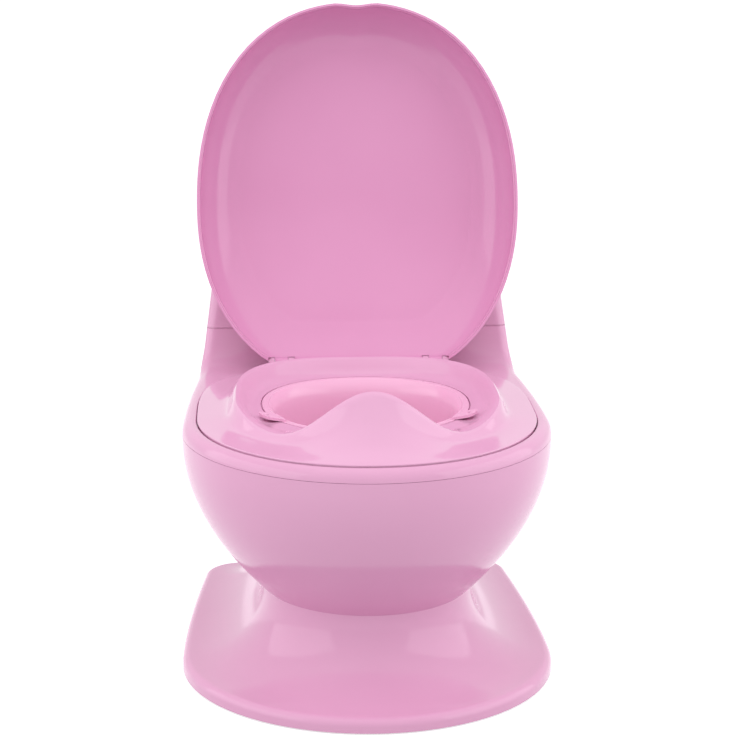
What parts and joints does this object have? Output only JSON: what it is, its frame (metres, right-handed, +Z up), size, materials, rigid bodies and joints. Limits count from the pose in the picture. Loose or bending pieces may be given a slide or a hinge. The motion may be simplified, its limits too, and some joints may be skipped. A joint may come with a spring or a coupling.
{
  "type": "potty training chair",
  "caption": "Child's potty shaped like a small toilet, with a hinged lid, lift-off seat ring with splash guard, lift-out pot, and a tank cap with a press-down flush button.",
  "frame": {"origin": "on the floor, under the middle of the object's width and depth", "axes": "+Z up, -Y towards the front where the child faces, +X to the right seen from the front"},
  "size_m": [0.298, 0.4, 0.5154],
  "materials": {
    "shell_plastic": "glossy moulded polypropylene, pink",
    "seat_plastic": "glossy moulded polypropylene, pink",
    "lid_plastic": "glossy moulded polypropylene, pink",
    "pot_plastic": "glossy moulded polypropylene, deeper pink",
    "silver_plastic": "chrome-plated ABS",
    "module_plastic": "satin moulded ABS, white",
    "switch_plastic": "black nylon",
    "circuit_board": "green solder mask on glass-fibre laminate",
    "steel": "zinc-plated steel",
    "spring_steel": "drawn spring wire",
    "cell_jacket": "plain plastic sleeve",
    "speaker_cone": "black paper cone",
    "foot_rubber": "light grey thermoplastic rubber"
  },
  "bodies": {
    "base": {"base_shell": "shell_plastic", "upper_shell": "shell_plastic", "foot_front_left": "foot_rubber", "foot_front_right": "foot_rubber", "foot_rear_left": "foot_rubber", "foot_rear_right": "foot_rubber", "shell_screw_front_left": "steel", "shell_screw_front_right": "steel", "shell_screw_rear_left": "steel", "shell_screw_rear_right": "steel"},
    "seat": {"seat_ring": "seat_plastic", "hinge_pin_left": "steel", "hinge_pin_right": "steel"},
    "lid": {"lid": "lid_plastic"},
    "pot": {"pot": "pot_plastic"},
    "cap": {"tank_cap": "shell_plastic", "button_spring": "spring_steel", "sound_housing": "module_plastic", "sound_board": "circuit_board", "switch_body": "switch_plastic", "speaker": "speaker_cone", "battery_cell_1": "cell_jacket", "battery_cell_2": "cell_jacket", "contact_left": "steel", "contact_right": "steel", "module_screw_left": "steel", "module_screw_right": "steel"},
    "button": {"flush_button": "silver_plastic", "switch_plunger": "module_plastic"},
    "battery_door": {"battery_door": "module_plastic", "battery_door_screw": "steel"}
  },
  "joints": [
    {"name": "seat_lift", "type": "slide", "parent": "base", "child": "seat", "axis": [0, 0, 1], "range_m": [0, 0.06]},
    {"name": "lid_hinge", "type": "hinge", "parent": "seat", "child": "lid", "pos_m": [0, 0.113, 0.216], "axis": [-1, 0, 0], "range_deg": [-99, 0]},
    {"name": "pot_lift", "type": "slide", "parent": "seat", "child": "pot", "axis": [0, 0, 1], "range_m": [0, 0.15]},
    {"name": "cap_lift", "type": "slide", "parent": "base", "child": "cap", "axis": [0, 0.5, 0.866], "range_m": [0, 0.08]},
    {"name": "flush_press", "type": "slide", "parent": "cap", "child": "button", "axis": [0, 0, -1], "range_m": [0, 0.002], "stiffness_N_per_m": 400, "springref_m": -0.002, "deforming": ["button_spring"]},
    {"name": "battery_door_slide", "type": "slide", "parent": "cap", "child": "battery_door", "axis": [0, 0, -1], "range_m": [0, 0.025]}
  ]
}
